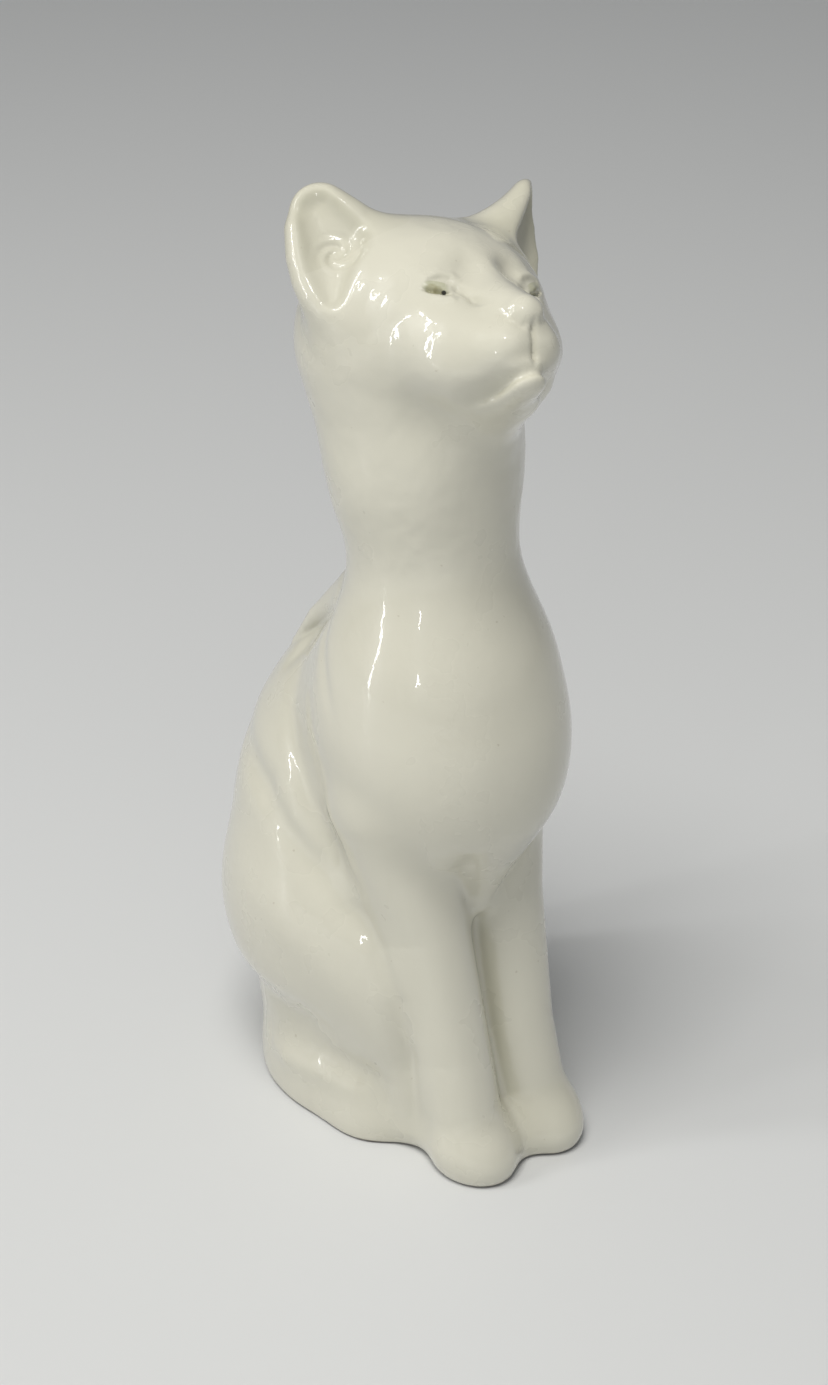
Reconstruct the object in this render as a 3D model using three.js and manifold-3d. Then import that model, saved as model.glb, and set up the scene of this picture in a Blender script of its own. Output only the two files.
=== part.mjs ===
// Seated ceramic cat figurine, drain-cast in several members that are luted together before firing.
// Millimetres, +Z up, the cat faces -Y, so its own left side is +X. The origin is on the standing face.
//
// Every member is modelled as a potter would: lumps of clay (ellipsoids and tapered rolls) blended
// into one smooth surface, with a three.js sphere or cylinder laid over that surface as its skin.
import * as THREE from "three";
import { mergeVertices } from "three/addons/utils/BufferGeometryUtils.js";
import Module from "manifold-3d";

// ---- Driving dimensions ----
const WALL = 3.4; // thickness of the drain-cast shell
const SEAM = 0.3; // width of a luted seam between two members
const NECK_SEAM_Z = 113; // height of the seam between torso and head casting
const LEG_X = 7.5; // half the spacing of the forelegs
const VENT_RADIUS = 3; // vent hole in the base plate, through which the hollow cast breathes
const PLATE_THICK = 3;
const PLATE_RECESS = 0.8; // the base plate sits this far above the standing rim

// The head looks up and leans to the cat's left. Its frame starts midway between the eyes.
const HEAD_AT = [2.4, -8, 158.2];
const HEAD_PITCH = THREE.MathUtils.degToRad(-40);
const HEAD_LEAN = THREE.MathUtils.degToRad(17);
const EYE_X = 7.6;
const EYE_Y = -0.2;
const EAR_AT = [15.6, 12.5, 8.5]; // foot of the left ear in the head's frame
const EAR_NOD = 0.04; // radians an ear tips forward
const EAR_NOD_SKEW = 0.12; // the left ear tips this much further forward, the right this much less
const EAR_SPLAY = 0.32; // radians an ear tips outward
const EAR_TWIST = 0.6; // radians its cup turns outward

const wasm = await Module();
wasm.setup();

// ---- Clay: signed distances, negative inside ----
const vec = (point) => new THREE.Vector3(...point);

function ellipsoid(centre, radii, turn = [0, 0, 0]) {
  const toLocal = new THREE.Matrix4()
    .makeRotationFromEuler(new THREE.Euler(...turn))
    .setPosition(...centre)
    .invert();
  const q = new THREE.Vector3();
  const [a, b, c] = radii;
  return (p) => {
    q.copy(p).applyMatrix4(toLocal);
    const level = Math.hypot(q.x / a, q.y / b, q.z / c);
    const slope = Math.hypot(q.x / a ** 2, q.y / b ** 2, q.z / c ** 2);
    return slope > 0 ? (level * (level - 1)) / slope : -Math.min(...radii);
  };
}

// A roll of clay from one point to another, with its own radius at each end.
function roll(from, to, fromRadius, toRadius) {
  const start = vec(from);
  const along = vec(to).sub(start);
  const q = new THREE.Vector3();
  return (p) => {
    q.subVectors(p, start);
    const share = THREE.MathUtils.clamp(q.dot(along) / along.lengthSq(), 0, 1);
    return q.addScaledVector(along, -share).length() - THREE.MathUtils.lerp(fromRadius, toRadius, share);
  };
}

// Lumps pressed together, with the hollow between them filled to about the given radius.
function blend(radius, ...lumps) {
  return (p) =>
    lumps
      .map((lump) => lump(p))
      .reduce((a, b) => {
        const overlap = Math.max(radius - Math.abs(a - b), 0) / radius;
        return Math.min(a, b) - (overlap * overlap * radius) / 4;
      });
}

// ---- Skins and solids ----
const REACH = 90; // no surface is further than this from its anchor
const BISECTIONS = 26;

function bare(geometry) {
  geometry.deleteAttribute("normal");
  geometry.deleteAttribute("uv");
  return mergeVertices(geometry, 1e-5);
}

// Slides each vertex along the ray from its anchor until it lies on the clay, or offset above it.
function layOver(geometry, anchorOf, clay, offset) {
  const skin = bare(geometry);
  const place = skin.attributes.position;
  const vertex = new THREE.Vector3();
  const ray = new THREE.Vector3();
  const p = new THREE.Vector3();
  for (let i = 0; i < place.count; i++) {
    vertex.fromBufferAttribute(place, i);
    const anchor = anchorOf(vertex);
    ray.subVectors(vertex, anchor);
    if (ray.length() < 1e-6) continue;
    ray.normalize();
    let low = 0;
    let high = REACH;
    for (let n = 0; n < BISECTIONS; n++) {
      const middle = (low + high) / 2;
      if (clay(p.copy(anchor).addScaledVector(ray, middle)) > offset) high = middle;
      else low = middle;
    }
    p.copy(anchor).addScaledVector(ray, low);
    place.setXYZ(i, p.x, p.y, p.z);
  }
  return skin;
}

function sphereSkin(clay, centre, around, down, offset = 0) {
  const anchor = vec(centre);
  const ball = new THREE.SphereGeometry(1, around, down).rotateX(Math.PI / 2);
  return layOver(ball.translate(...centre), () => anchor, clay, offset);
}

// A skin of level sections from one height to another. axisAt gives the anchor's x and y at a height.
function levelSkin(clay, axisAt, bottom, top, around, levels, offset = 0) {
  const drum = new THREE.CylinderGeometry(1, 1, top - bottom, around, levels).rotateX(Math.PI / 2);
  const skin = bare(drum.translate(0, 0, (top + bottom) / 2));
  const place = skin.attributes.position;
  for (let i = 0; i < place.count; i++) {
    const [x, y] = axisAt(place.getZ(i));
    place.setXY(i, place.getX(i) + x, place.getY(i) + y);
  }
  const anchorOf = (v) => {
    const [x, y] = axisAt(v.z);
    return new THREE.Vector3(x, y, v.z);
  };
  return layOver(skin, anchorOf, clay, offset);
}

// A round tapered bar that follows a curve, with domed ends.
function tailSkin(curve, radiusAt, around, steps) {
  const bar = bare(new THREE.CylinderGeometry(1, 1, 1, around, steps));
  const place = bar.attributes.position;
  const side = new THREE.Vector3();
  const rise = new THREE.Vector3();
  for (let i = 0; i < place.count; i++) {
    const share = place.getY(i) + 0.5;
    const centre = curve.getPointAt(share);
    const forward = curve.getTangentAt(share);
    side.set(0, 0, 1).cross(forward).normalize();
    rise.crossVectors(side, forward);
    const radius = radiusAt(share);
    centre.addScaledVector(side, place.getX(i) * radius).addScaledVector(rise, place.getZ(i) * radius);
    place.setXYZ(i, ...centre);
  }
  return bar;
}

function solidOf(geometry) {
  const merged = bare(geometry);
  return new wasm.Manifold(
    new wasm.Mesh({
      numProp: 3,
      vertProperties: new Float32Array(merged.attributes.position.array),
      triVerts: new Uint32Array(merged.index.array),
    }),
  );
}

function geometryOf(solid) {
  const mesh = solid.getMesh();
  const geometry = new THREE.BufferGeometry();
  geometry.setAttribute("position", new THREE.BufferAttribute(mesh.vertProperties, 3));
  geometry.setIndex(new THREE.BufferAttribute(mesh.triVerts, 1));
  const faceted = geometry.toNonIndexed();
  faceted.computeVertexNormals();
  return faceted;
}

const posed = (solid, pose) => solidOf(geometryOf(solid).applyMatrix4(pose));

const BIG = 400;
// Everything on the low side of a plane through the point, after moving the plane up by shift.
function halfSpace(point, normal, shift) {
  const up = vec(normal).normalize();
  const slab = new THREE.BoxGeometry(BIG, BIG, BIG).translate(0, 0, -BIG / 2);
  slab.applyQuaternion(new THREE.Quaternion().setFromUnitVectors(new THREE.Vector3(0, 0, 1), up));
  const at = vec(point).addScaledVector(up, shift);
  return solidOf(slab.translate(at.x, at.y, at.z));
}
const belowFloor = halfSpace([0, 0, 0], [0, 0, 1], 0);

// ---- Clay of the body; the side lumps are laid down for the cat's left and folded to both sides ----
const chest = blend(
  9,
  ellipsoid([0, -0.5, 77], [21.8, 23.4, 30]),
  roll([0, 1, 98], [0, 1.4, 130], 14, 14.6),
);
const back = blend(
  8,
  ellipsoid([0, 19, 44], [22, 23.5, 47]),
  ellipsoid([0, 16, 6], [19.5, 22, 24]),
  roll([0, 8, 99], [0, 20, 80], 11, 15),
);
const armClay = blend(
  5,
  roll([11.5, 1.5, 66], [8.2, -8.8, 43], 8.8, 7.4),
  roll([8.2, -8.8, 43], [LEG_X, -14, 20], 7.4, 7),
  roll([LEG_X, -14, 20], [LEG_X, -18, 6], 7, 6.8),
  ellipsoid([LEG_X + 0.3, -19.2, 3.2], [7.5, 8.4, 6.8]),
);
const thighClay = blend(
  6,
  ellipsoid([13, 19, 30], [12.5, 22, 22], [0.2, 0, 0]),
  ellipsoid([15, 2, 26], [8, 14, 17], [0.15, 0, 0]),
);
const footClay = blend(4, ellipsoid([14, 0, 4], [7.6, 9.5, 9.5]), ellipsoid([14, 14, 4], [8, 16, 11.5]));
const torso = blend(4, chest, back);
const arms = blend(2.5, armClay, onSide(-1, armClay));
const body = folded(blend(2.5, blend(5, torso, thighClay, footClay), arms));

function folded(clay) {
  const q = new THREE.Vector3();
  return (p) => clay(q.set(Math.abs(p.x), p.y, p.z));
}
function onSide(side, clay) {
  const q = new THREE.Vector3();
  return (p) => clay(q.set(p.x * side, p.y, p.z));
}
// The part of a body of clay that lies within the given distance of one lump.
const near = (clay, lump, distance) => (p) => Math.max(clay(p), lump(p) - distance);

// ---- Regions: where each member ends. grow pushes a region outward by the seam it leaves ----
const FILLET = 1.6; // a member keeps this much of the fillet around its own lump
const ARM_FILLET = 2.1;
const TRIM = 2.5; // extra clay carried to the cut
const TUCK = 1.2; // a casting's skin runs this far into a member's region, where it is trimmed

const LEG_TOP = 74;
const armAxis = (side) => (z) => {
  const rise = THREE.MathUtils.clamp((z - 20) / (66 - 20), 0, 1);
  return [side * THREE.MathUtils.lerp(LEG_X, 11, rise), THREE.MathUtils.lerp(-18.5, 0, Math.max(z, 0) / 66)];
};

// The shoulder seam climbs from between the forelegs over the shoulder.
const CROTCH = [0, -8, 45];
const SHOULDER_NORMAL = [-0.75, 0.25, 0.61];
const armRegion = (side, grow = 0) =>
  solidOf(levelSkin(onSide(side, armClay), armAxis(side), -4, LEG_TOP, 20, 14, ARM_FILLET + grow))
    .intersect(halfSpace([0, 0, 0], [-side, 0, 0], grow - SEAM / 2))
    .intersect(halfSpace(CROTCH, [side * SHOULDER_NORMAL[0], SHOULDER_NORMAL[1], SHOULDER_NORMAL[2]], grow));

const THIGH_INNER = 14; // the thigh is luted to the torso on this plane
const thighRegion = (side, grow = 0) =>
  solidOf(sphereSkin(onSide(side, thighClay), [side * 15, 14, 28], 20, 12, FILLET + grow)).intersect(
    halfSpace([side * THIGH_INNER, 0, 0], [-side, 0, 0], grow),
  );

const FOOT_INNER = 10;
const footRegion = (side, grow = 0) =>
  solidOf(sphereSkin(onSide(side, footClay), [side * 14, 9, 4], 16, 10, FILLET + grow)).intersect(
    halfSpace([side * FOOT_INNER, 0, 0], [-side, 0, 0], grow),
  );

// ---- Base plate: closes the pouring opening, with one vent hole ----
const PLATE_AT = [0, 17];
const PLATE_HALF = [7, 12];

function plateBlank(grow, bottom, depth) {
  const outline = new THREE.Shape();
  outline.absellipse(0, 0, PLATE_HALF[0] + grow, PLATE_HALF[1] + grow, 0, 2 * Math.PI);
  const plate = new THREE.ExtrudeGeometry(outline, { depth, bevelEnabled: false, curveSegments: 18 });
  return solidOf(plate.translate(...PLATE_AT, bottom));
}

function basePlate() {
  const drill = new THREE.CylinderGeometry(VENT_RADIUS, VENT_RADIUS, BIG, 24).rotateX(Math.PI / 2);
  return plateBlank(0, PLATE_RECESS, PLATE_THICK).subtract(solidOf(drill.translate(...PLATE_AT, 0)));
}

// ---- Torso casting: chest, neck root, back and belly ----
const TORSO_TOP = NECK_SEAM_Z + 6;
const CAVITY_FLOOR = PLATE_RECESS + PLATE_THICK;
const torsoAxis = (z) => [0, THREE.MathUtils.lerp(14, 1, THREE.MathUtils.smoothstep(z, 40, 105))];

// The torso's own clay, without what belongs to the legs, for the hollow inside it.
const shoulderPlane = new THREE.Plane().setFromNormalAndCoplanarPoint(
  vec(SHOULDER_NORMAL).normalize(),
  vec(CROTCH),
);
const ownedByArm = (p) => Math.max(armClay(p) - ARM_FILLET, shoulderPlane.distanceToPoint(p));
const ownedByThigh = (p) => Math.max(thighClay(p) - FILLET, THIGH_INNER - p.x);
const ownedByFoot = (p) => Math.max(footClay(p) - FILLET, FOOT_INNER - p.x);

// The torso's skin dips into the arm's region, deeply at the shoulder, where it would else show a step.
const SHOULDER_TUCK = 4;
const TORSO_SPREAD = 6; // how far the torso's clay may stand off its own lumps
const tuckAt = (z) => THREE.MathUtils.lerp(TUCK, SHOULDER_TUCK, THREE.MathUtils.smoothstep(z, 38, 52));
const tucked = folded((p) => Math.max(body(p), -ownedByArm(p) - tuckAt(p.z), torso(p) - TORSO_SPREAD));
const inner = folded((p) => Math.max(body(p), -ownedByArm(p), -ownedByThigh(p), -ownedByFoot(p)));

function torsoShell() {
  const cavity = solidOf(levelSkin(inner, torsoAxis, CAVITY_FLOOR, TORSO_TOP + 2, 18, 16, -WALL));
  let shell = solidOf(levelSkin(tucked, torsoAxis, -2, TORSO_TOP, 44, 36))
    .subtract(cavity)
    .subtract(plateBlank(SEAM, -BIG, BIG + CAVITY_FLOOR + SEAM))
    .subtract(belowFloor)
    .intersect(halfSpace([0, 0, NECK_SEAM_Z], [0, 0, 1], -SEAM / 2));
  for (const side of [1, -1]) {
    shell = shell
      .subtract(armRegion(side, SEAM))
      .subtract(thighRegion(side, SEAM))
      .subtract(footRegion(side, SEAM));
  }
  return shell;
}

// ---- Limbs, cut from the body's clay by their regions ----
const foreleg = (side) =>
  solidOf(
    levelSkin(near(body, onSide(side, armClay), ARM_FILLET + TRIM), armAxis(side), -2, LEG_TOP, 22, 26),
  )
    .intersect(armRegion(side))
    .subtract(belowFloor);

const haunch = (side) =>
  solidOf(sphereSkin(near(body, onSide(side, thighClay), FILLET + TRIM), [side * 15, 14, 28], 28, 18))
    .intersect(thighRegion(side))
    .subtract(armRegion(side, SEAM))
    .subtract(belowFloor);

const hindFoot = (side) =>
  solidOf(sphereSkin(near(body, onSide(side, footClay), FILLET + TRIM), [side * 14, 9, 4], 22, 14))
    .intersect(footRegion(side))
    .subtract(thighRegion(side, SEAM))
    .subtract(armRegion(side, SEAM))
    .subtract(belowFloor);

// ---- Tail: from the rump round the cat's left side, lying on the floor ----
const TAIL_RADIUS = 4.4;
const TAIL_TAPER = 0.2;
const TAIL_DOME = 0.07; // share of the tail's length taken by each domed end
const tailCurve = new THREE.CatmullRomCurve3(
  [
    [0, 35, 9],
    [12, 38, 6],
    [22, 31, TAIL_RADIUS],
    [25.5, 20, TAIL_RADIUS],
    [24, 9, TAIL_RADIUS],
  ].map(vec),
);
const tailRadius = (share) => {
  const intoDome = Math.max(1 - Math.min(share, 1 - share) / TAIL_DOME, 0);
  return TAIL_RADIUS * (1 - TAIL_TAPER * share) * Math.sqrt(1.02 - intoDome ** 2);
};
const tail = () =>
  solidOf(tailSkin(tailCurve, tailRadius, 12, 20))
    .subtract(solidOf(levelSkin(body, torsoAxis, -2, 30, 44, 9, SEAM)))
    .subtract(thighRegion(1, SEAM))
    .subtract(footRegion(1, SEAM))
    .subtract(belowFloor);

// ---- Head casting, in the head's own frame: x to its left, y to its back, z up ----
const headPose = new THREE.Matrix4()
  .makeRotationFromEuler(new THREE.Euler(HEAD_PITCH, HEAD_LEAN, 0))
  .setPosition(...HEAD_AT);
const toHead = headPose.clone().invert();
const inHead = (point) => vec(point).applyMatrix4(toHead).toArray();

const skull = folded(
  blend(
    4,
    ellipsoid([0, 13, 3], [17.6, 14.6, 14.6]),
    roll([0, 6, -7], [7, 4.5, -8], 8, 6.6),
    blend(
      3,
      roll([0, 1, -1.5], [0, -8.2, -7.6], 4.4, 3.1),
      ellipsoid([0, -1.5, -11], [8, 8, 6.6]),
      ellipsoid([3.3, -5.8, -12.2], [4.2, 4.8, 4.4]),
      ellipsoid([0, -3.6, -17], [4.6, 5.4, 4]),
    ),
  ),
);
const neck = blend(
  8,
  roll(inHead([0, 1.2, 100]), inHead([0, 3, 126]), 13.2, 15.8),
  roll(inHead([0, 3, 126]), inHead([0.8, 7.5, 146]), 16.2, 18),
);
const earPose = (side) =>
  new THREE.Matrix4()
    .makeRotationFromEuler(new THREE.Euler(EAR_NOD + side * EAR_NOD_SKEW, side * EAR_SPLAY, side * EAR_TWIST))
    .setPosition(side * EAR_AT[0], EAR_AT[1], EAR_AT[2]);

// Clay thinned front to back, as an ear is.
function pressed(depth, clay) {
  const q = new THREE.Vector3();
  return (p) => clay(q.set(p.x, p.y / depth, p.z)) * depth;
}
function placed(pose, clay) {
  const back = pose.clone().invert();
  const q = new THREE.Vector3();
  return (p) => clay(q.copy(p).applyMatrix4(back));
}
const earClay = pressed(
  0.5,
  blend(3, roll([0, 0, -2], [0, 0, 7], 8.6, 5.8), roll([0, 0, 7], [0, 0, 14.6], 5.8, 2.2)),
);
const bareHead = blend(5, skull, neck);
const headClay = blend(3, bareHead, placed(earPose(1), earClay), placed(earPose(-1), earClay));
const HEAD_CENTRE = [0, 11, -3];
const EAR_SEAM = 1; // height of the luted seam above the foot of the ear
const ownedByEar = (q) => Math.max(earClay(q) - FILLET, EAR_SEAM - q.z);
const ownedByEars = [1, -1].map((side) => placed(earPose(side), ownedByEar));
const tuckedHead = (p) => Math.max(headClay(p), ...ownedByEars.map((owned) => -owned(p) - TUCK));

const earRegion = (side, grow = 0) =>
  posed(
    solidOf(sphereSkin(earClay, [0, 0, 4], 16, 10, FILLET + grow)).intersect(
      halfSpace([0, 0, EAR_SEAM], [0, 0, -1], grow),
    ),
    earPose(side),
  );
const cupClay = pressed(0.8, roll([0, -5.2, 4.6], [0, -3.2, 12.4], 5.6, 2));
const earCup = (side) => solidOf(sphereSkin(cupClay, [0, -4.6, 7], 16, 10).applyMatrix4(earPose(side)));

// ---- Eyes: low enamelled buttons in their sockets ----
const eyeClay = ellipsoid([EYE_X, EYE_Y, 0], [3, 2.1, 1.5], [0, 0, 0.35]);
const eyeSolid = (side, offset = 0) =>
  solidOf(sphereSkin(onSide(side, eyeClay), [side * EYE_X, EYE_Y, 0], 12, 8, offset));

function headShell() {
  const belowSeam = posed(halfSpace([0, 0, NECK_SEAM_Z], [0, 0, 1], SEAM / 2), toHead);
  let shell = solidOf(sphereSkin(tuckedHead, HEAD_CENTRE, 46, 32))
    .subtract(solidOf(sphereSkin(bareHead, HEAD_CENTRE, 18, 12, -WALL)))
    .subtract(belowSeam);
  for (const side of [1, -1]) {
    shell = shell.subtract(earRegion(side, SEAM)).subtract(earCup(side)).subtract(eyeSolid(side, SEAM));
  }
  return shell;
}

const ear = (side) => {
  const clay = placed(earPose(side).invert(), headClay);
  const skin = sphereSkin(near(clay, earClay, FILLET + TRIM), [0, 0.5, 3], 20, 16);
  return solidOf(skin.applyMatrix4(earPose(side)))
    .intersect(earRegion(side))
    .subtract(earCup(side));
};

// ---- Assembly ----
const GLAZE = { color: 0xd9d8c6, roughness: 0.12, metalness: 0 };
const EYE_ENAMEL = { color: 0x8c8a5a, roughness: 0.1, metalness: 0 };
const BISCUIT = { color: 0xe4e0d2, roughness: 0.75, metalness: 0 };

function member(name, solid, finish) {
  const mesh = new THREE.Mesh(geometryOf(solid), new THREE.MeshStandardMaterial(finish));
  mesh.name = name;
  return mesh;
}

function buildCat() {
  const cat = new THREE.Group();
  cat.add(member("torso_shell", torsoShell(), GLAZE));
  cat.add(member("base_plate", basePlate(), BISCUIT));
  cat.add(member("tail", tail(), GLAZE));
  const head = new THREE.Group();
  head.applyMatrix4(headPose);
  head.add(member("head_shell", headShell(), GLAZE));
  for (const [word, side] of [["left", 1], ["right", -1]]) {
    cat.add(member(`${word}_foreleg`, foreleg(side), GLAZE));
    cat.add(member(`${word}_haunch`, haunch(side), GLAZE));
    cat.add(member(`${word}_hind_foot`, hindFoot(side), GLAZE));
    head.add(member(`${word}_ear`, ear(side), GLAZE));
    head.add(member(`${word}_eye`, eyeSolid(side), EYE_ENAMEL));
  }
  cat.add(head);
  return cat;
}

const cat = buildCat();
// The origin is the middle of the footprint's box, on the standing face.
const box = new THREE.Box3().setFromObject(cat, true);
cat.position.set(-(box.min.x + box.max.x) / 2, -(box.min.y + box.max.y) / 2, -box.min.z);

export default cat;
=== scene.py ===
"""Glazed ceramic cat figurine: the looks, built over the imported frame.

The whole cat is one field of clay, a signed distance in modelling millimetres. Its surface is found once
for the body and once for the head, and then cut along the seams between the cast members, so that there is
one closed piece for each glazed CAD node and neighbours share their edge. The unglazed closing plate stays as
the CAD made it, with a new material.
"""
import math

import bpy
import numpy as np
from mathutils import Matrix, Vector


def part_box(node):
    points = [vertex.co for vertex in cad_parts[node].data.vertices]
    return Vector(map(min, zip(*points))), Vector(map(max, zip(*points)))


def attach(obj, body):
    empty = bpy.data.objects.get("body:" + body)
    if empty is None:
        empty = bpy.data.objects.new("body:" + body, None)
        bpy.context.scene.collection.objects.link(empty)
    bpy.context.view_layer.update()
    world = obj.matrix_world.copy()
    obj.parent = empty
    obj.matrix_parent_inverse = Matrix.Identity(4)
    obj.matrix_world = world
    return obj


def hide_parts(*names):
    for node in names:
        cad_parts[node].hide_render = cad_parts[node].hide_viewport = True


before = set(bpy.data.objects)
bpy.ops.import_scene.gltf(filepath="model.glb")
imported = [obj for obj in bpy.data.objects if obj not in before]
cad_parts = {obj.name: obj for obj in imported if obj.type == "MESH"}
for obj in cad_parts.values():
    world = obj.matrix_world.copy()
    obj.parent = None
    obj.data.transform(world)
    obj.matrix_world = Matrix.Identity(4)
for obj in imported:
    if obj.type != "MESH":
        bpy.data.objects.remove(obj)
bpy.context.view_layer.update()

import openvdb
from mathutils import Matrix, Vector

MM = 0.001

# ---------------------------------------------------------------------------
# The modelling frame: millimetres, the cat's mid plane is x = 0, it faces -y and its left is +x.
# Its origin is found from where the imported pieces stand.
# ---------------------------------------------------------------------------
SIDES = (("left", 1), ("right", -1))
PLATE_Y = 17.0  # the base plate's centre in the modelling frame
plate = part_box("base_plate")
ORIGIN = np.array([
    (plate[0].x + plate[1].x) / 2,
    (plate[0].y + plate[1].y) / 2 - PLATE_Y * MM,
    0.0,
])
NECK_SEAM_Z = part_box("torso_shell")[1].z / MM + 0.15
# the recess round the closing plate: its half sides and its height
PLATE_HALF = [(plate[1][i] - plate[0][i]) / MM / 2 + 0.35 for i in (0, 1)]
PLATE_TOP = plate[1].z / MM + 0.2


def to_frame(points):
    """Modelling millimetres to the frame's metres."""
    return np.asarray(points, float) * MM + ORIGIN


# ---------------------------------------------------------------------------
# Clay: signed distances in millimetres on arrays of points, negative inside
# ---------------------------------------------------------------------------
def rotation(x=0.0, y=0.0, z=0.0):
    """Turn about z, then y, then x, all in radians."""
    cx, sx, cy, sy, cz, sz = (f(a) for a in (x, y, z) for f in (math.cos, math.sin))
    rx = np.array([[1, 0, 0], [0, cx, -sx], [0, sx, cx]])
    ry = np.array([[cy, 0, sy], [0, 1, 0], [-sy, 0, cy]])
    rz = np.array([[cz, -sz, 0], [sz, cz, 0], [0, 0, 1]])
    return rx @ ry @ rz


def ellipsoid(p, centre, radii, turn=None):
    """A ball of clay with its own radius along each axis."""
    q = p - np.asarray(centre, p.dtype)
    if turn is not None:
        q = q @ rotation(*turn).astype(p.dtype)
    r = np.asarray(radii, p.dtype)
    level = np.sqrt(((q / r) ** 2).sum(1))
    slope = np.sqrt(((q / r ** 2) ** 2).sum(1)) + 1e-6
    return level * (level - 1) / slope


def roll(p, start, end, r0, r1):
    """A roll of clay from start to end with a ball's radius at each end."""
    a = np.asarray(start, p.dtype)
    d = np.asarray(end, p.dtype) - a
    length = math.sqrt(d @ d)
    taper = (r0 - r1) / length
    q = p - a
    along = q @ d / length
    away = np.sqrt(np.maximum((q ** 2).sum(1) - along ** 2, 0))
    t = np.clip((along - away * (taper / math.sqrt(1 - taper * taper))) / length, 0, 1)
    return np.hypot(away, along - t * length) - (r0 + (r1 - r0) * t)


def chain(p, points, radii):
    """Rolls end to end through the points."""
    rolls = [roll(p, a, b, ra, rb) for a, b, ra, rb in zip(points, points[1:], radii, radii[1:])]
    return np.minimum.reduce(rolls)


def blend(k, *fields):
    """Smooth union; k is the width of the fillet."""
    out = fields[0]
    for f in fields[1:]:
        overlap = np.maximum(k - np.abs(out - f), 0) / k
        out = np.minimum(out, f) - overlap ** 2 * (k / 4)
    return out


def carve(k, body, tool):
    """Smooth cut of the tool out of the body."""
    return -blend(k, -body, tool)


def pressed(depth, q, clay):
    """Clay thinned front to back."""
    return clay(q / np.array([1, depth, 1], q.dtype)) * depth


def sided(p, side):
    """The points mirrored, for the cat's right side."""
    return p * np.array([side, 1, 1], p.dtype)


def folded(p):
    """The points folded to the cat's left, for clay that is the same on both sides."""
    return np.abs(p) * np.array([1, 0, 0], p.dtype) + p * np.array([0, 1, 1], p.dtype)


def stroke(x, z, points, width):
    """1 on a line drawn over the clay, falling away over its width; the line fades at both ends."""
    best = np.zeros(len(x), x.dtype)
    last = len(points) - 1
    for i, ((ax, az), (bx, bz)) in enumerate(zip(points, points[1:])):
        dx, dz = bx - ax, bz - az
        t = np.clip(((x - ax) * dx + (z - az) * dz) / (dx * dx + dz * dz), 0, 1)
        away = (x - ax - t * dx) ** 2 + (z - az - t * dz) ** 2
        along = (i + t) / last
        fade = np.clip(4.5 * np.minimum(along, 1 - along) + 0.1, 0, 1)
        best = np.maximum(best, np.exp(-away / width ** 2) * fade)
    return best


def dimple(x, z, centre, size):
    """1 at the centre of a soft oval hollow, falling away over its size."""
    return np.exp(-((x - centre[0]) / size[0]) ** 2 - ((z - centre[1]) / size[1]) ** 2)


# ---- the seams between the body's members ----
CROTCH = np.array([0.0, -8.0, 45.0])  # the cut across the top of a foreleg goes through this place
SHOULDER = np.array([-0.75, 0.25, 0.61])  # and faces this way
SHOULDER = SHOULDER / np.linalg.norm(SHOULDER)
FORELEG_FILLET = 2.1  # how far the clay smoothed over a seam belongs to the member
FILLET = 1.6
TAIL_FILLET = 0.9
HAUNCH_INNER = 14.0  # the haunch and the hind foot end this far from the mid plane
FOOT_INNER = 10.0

# ---- the body's members, each for the cat's left; the right side is given by mirrored points ----
PAW_AT = {1: (7.7, -20.6, 3.0), -1: (7.2, -19.6, 3.0)}
PAW_RADII = (7.1, 8.5, 6.8)
LEG_IN = {1: 0.8, -1: 0.0}  # how far the left foreleg stands closer in
LEG_RADII = (9.2, 7.2, 6.6, 6.5)


def foreleg_clay(q, side):
    """The upper arm, leg and paw of one side."""
    x = -LEG_IN[side]
    line = [(x + 12, -1.5, 68), (x + 8.9, -8.5, 46), (x + 7.7, -14.2, 22), (7.6, -18.2, 6)]
    return blend(4, chain(q, line, LEG_RADII), ellipsoid(q, PAW_AT[side], PAW_RADII))


def web_clay(q):
    """Clay left standing between a foreleg and the belly, and between the two forelegs."""
    outer = chain(q, [(9.5, 1, 50), (8.5, -5.5, 26), (8, -8, 5)], [8.4, 7.4, 6.8])
    between = chain(q, [(0, -4.5, 48), (0, -9.5, 22), (0, -14.0, 7), (0, -21, 2.0)], [3.6, 3.8, 4.3, 3.8])
    return np.minimum(outer, between)


def haunch_clay(q):
    """The rump side of the thigh, and the knee in front of it."""
    return blend(
        6,
        ellipsoid(q, (12.6, 18.4, 36.5), (12.6, 20.8, 20.0), (0.08, 0, 0)),
        ellipsoid(q, (12.9, 3.8, 31), (8.0, 13.4, 20), (0.2, 0, 0)),
    )


def foot_clay(q):
    """A hind foot, which is one low mass with its heel."""
    toes = ellipsoid(q, (13.0, 1.8, 1.5), (7.2, 8.2, 10.2))
    heel = ellipsoid(q, (13.8, 14, 2), (7.8, 15.5, 11.8))
    return blend(4, toes, heel)


def rounded(rows, steps):
    """More rows along a smooth curve through the given ones."""
    rows = np.asarray(rows, float)
    ends = np.vstack([2 * rows[0] - rows[1], rows, 2 * rows[-1] - rows[-2]])
    t = (np.arange(steps) / steps)[:, None]
    curve = []
    for a, b, c, d in zip(ends, ends[1:], ends[2:], ends[3:]):
        curve.append(b + t * ((c - a) + t * ((2 * a - 5 * b + 4 * c - d) + t * (3 * b - 3 * c + d - a))) / 2)
    return np.vstack(curve + [rows[-1:]])


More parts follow.
